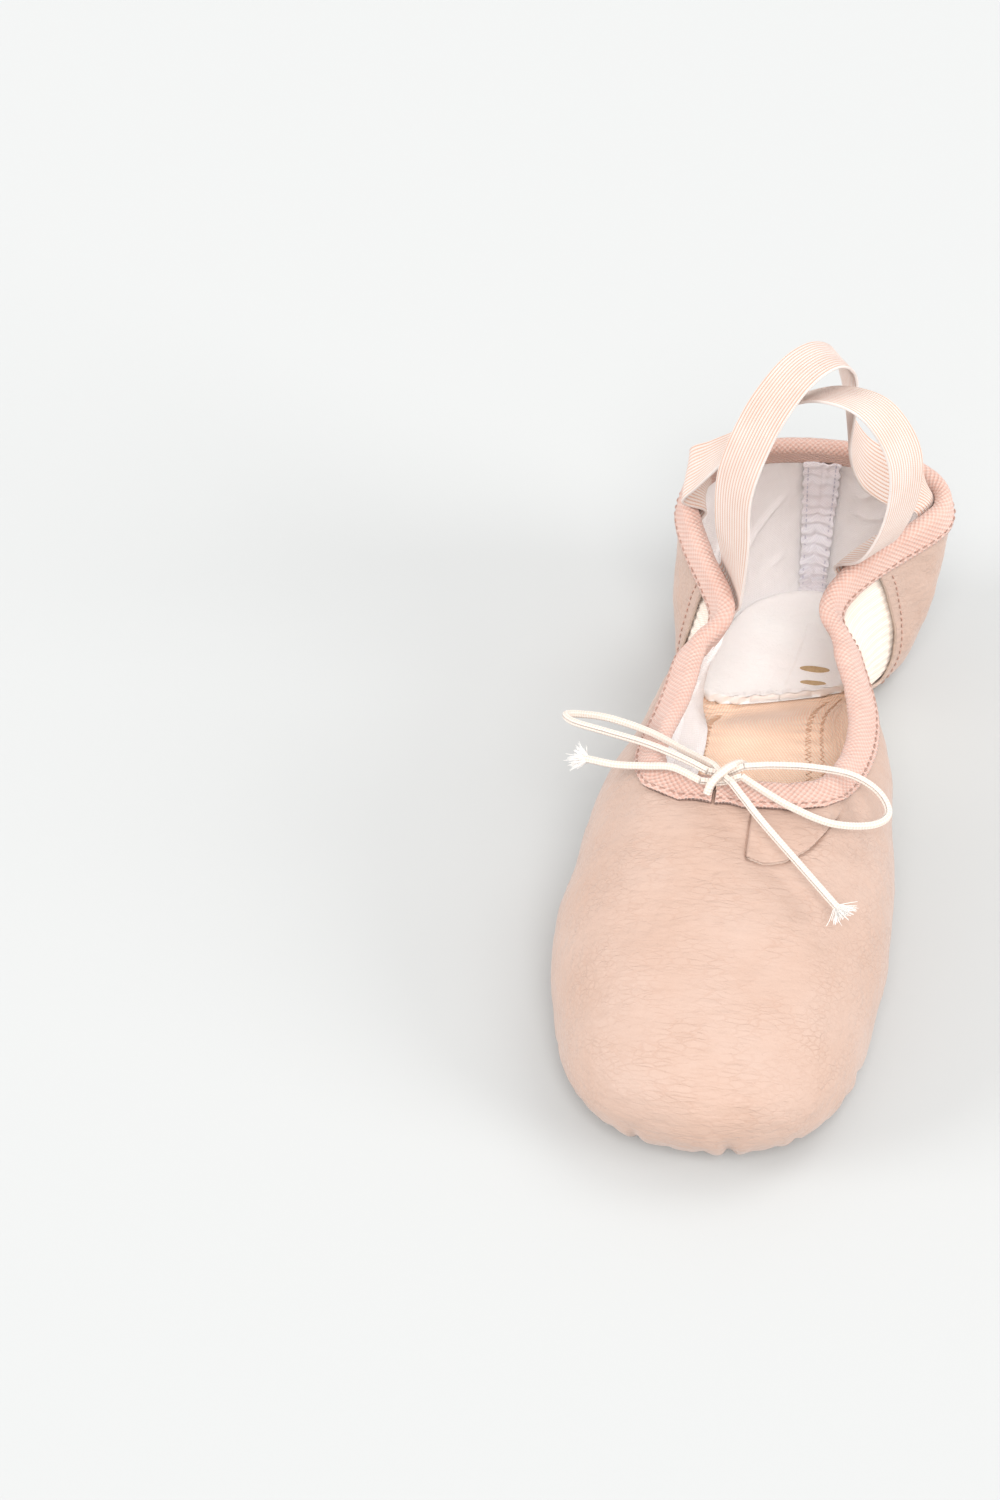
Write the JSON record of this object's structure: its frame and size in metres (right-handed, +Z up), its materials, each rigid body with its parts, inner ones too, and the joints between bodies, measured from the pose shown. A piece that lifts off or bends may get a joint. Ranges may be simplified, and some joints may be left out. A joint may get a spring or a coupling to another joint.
{
  "type": "ballet slipper",
  "caption": "Soft left split-sole ballet slipper: gathered leather vamp, stretch arch panel, bound topline with drawstring bow, leather heel and crossed ankle elastics.",
  "frame": {"origin": "centre of the slipper's footprint box on the floor, under the soles", "axes": "+Y towards the heel, the toe at -Y; +Z up; +X to the viewer's right when the toe faces the viewer"},
  "size_m": [0.102, 0.2372, 0.1255],
  "materials": {
    "pink_leather": "fine-grain matt leather",
    "white_cotton": "plain cotton",
    "stretch_mesh": "stretch knit",
    "pink_canvas": "woven tape",
    "tan_suede": "suede",
    "pale_elastic": "ribbed elastic",
    "cream_cord": "braided elastic cord",
    "pink_thread": "sewing thread"
  },
  "bodies": {
    "forefoot": {"vamp_leather": "pink_leather", "vamp_lining": "white_cotton", "forefoot_insole": "white_cotton", "forefoot_pad": "white_cotton", "forefoot_outsole": "tan_suede", "vamp_seam_thread_left": "pink_thread", "vamp_seam_thread_right": "pink_thread", "bow_knot": "cream_cord"},
    "heel": {"heel_quarter_left": "pink_leather", "heel_quarter_right": "pink_leather", "heel_lining_left": "white_cotton", "heel_lining_right": "white_cotton", "back_seam_tape": "white_cotton", "care_label": "white_cotton", "heel_sock": "white_cotton", "heel_pad": "white_cotton", "heel_outsole": "tan_suede", "heel_seam_thread_left": "pink_thread", "heel_seam_thread_right": "pink_thread", "elastic_stitch_1": "pink_thread", "elastic_stitch_2": "pink_thread", "elastic_stitch_3": "pink_thread", "elastic_stitch_4": "pink_thread", "arch_panel": "stretch_mesh", "arch_stitch_left": "pink_thread", "arch_stitch_right": "pink_thread", "topline_binding": "pink_canvas", "binding_thread": "pink_thread", "drawstring": "cream_cord"},
    "ankle_elastics": {"ankle_elastic_a": "pale_elastic", "ankle_elastic_b": "pale_elastic"},
    "bow_left": {"bow_loop_left": "cream_cord", "bow_tail_left": "cream_cord"},
    "bow_right": {"bow_loop_right": "cream_cord", "bow_tail_right": "cream_cord"}
  },
  "joints": [
    {"name": "arch_flex", "type": "hinge", "parent": "forefoot", "child": "heel", "pos_m": [0.0017, 0.0234, 0.0237], "axis": [1, 0, 0], "range_deg": [-35, 20], "stiffness_Nm_per_rad": 0.5, "deforming": ["arch_panel", "arch_stitch_left", "arch_stitch_right", "topline_binding", "binding_thread", "drawstring"]},
    {"name": "elastics_swing", "type": "hinge", "parent": "heel", "child": "ankle_elastics", "pos_m": [0.0087, 0.0674, 0.0577], "axis": [1, 0, 0], "range_deg": [-40, 40], "stiffness_Nm_per_rad": 0.02, "deforming": ["ankle_elastic_a", "ankle_elastic_b"]},
    {"name": "bow_left_lift", "type": "hinge", "parent": "forefoot", "child": "bow_left", "pos_m": [-0.0098, -0.0346, 0.0642], "axis": [0, 1, 0], "range_deg": [0, 60]},
    {"name": "bow_right_lift", "type": "hinge", "parent": "forefoot", "child": "bow_right", "pos_m": [-0.0038, -0.0346, 0.0652], "axis": [0, -1, 0], "range_deg": [0, 60]}
  ]
}
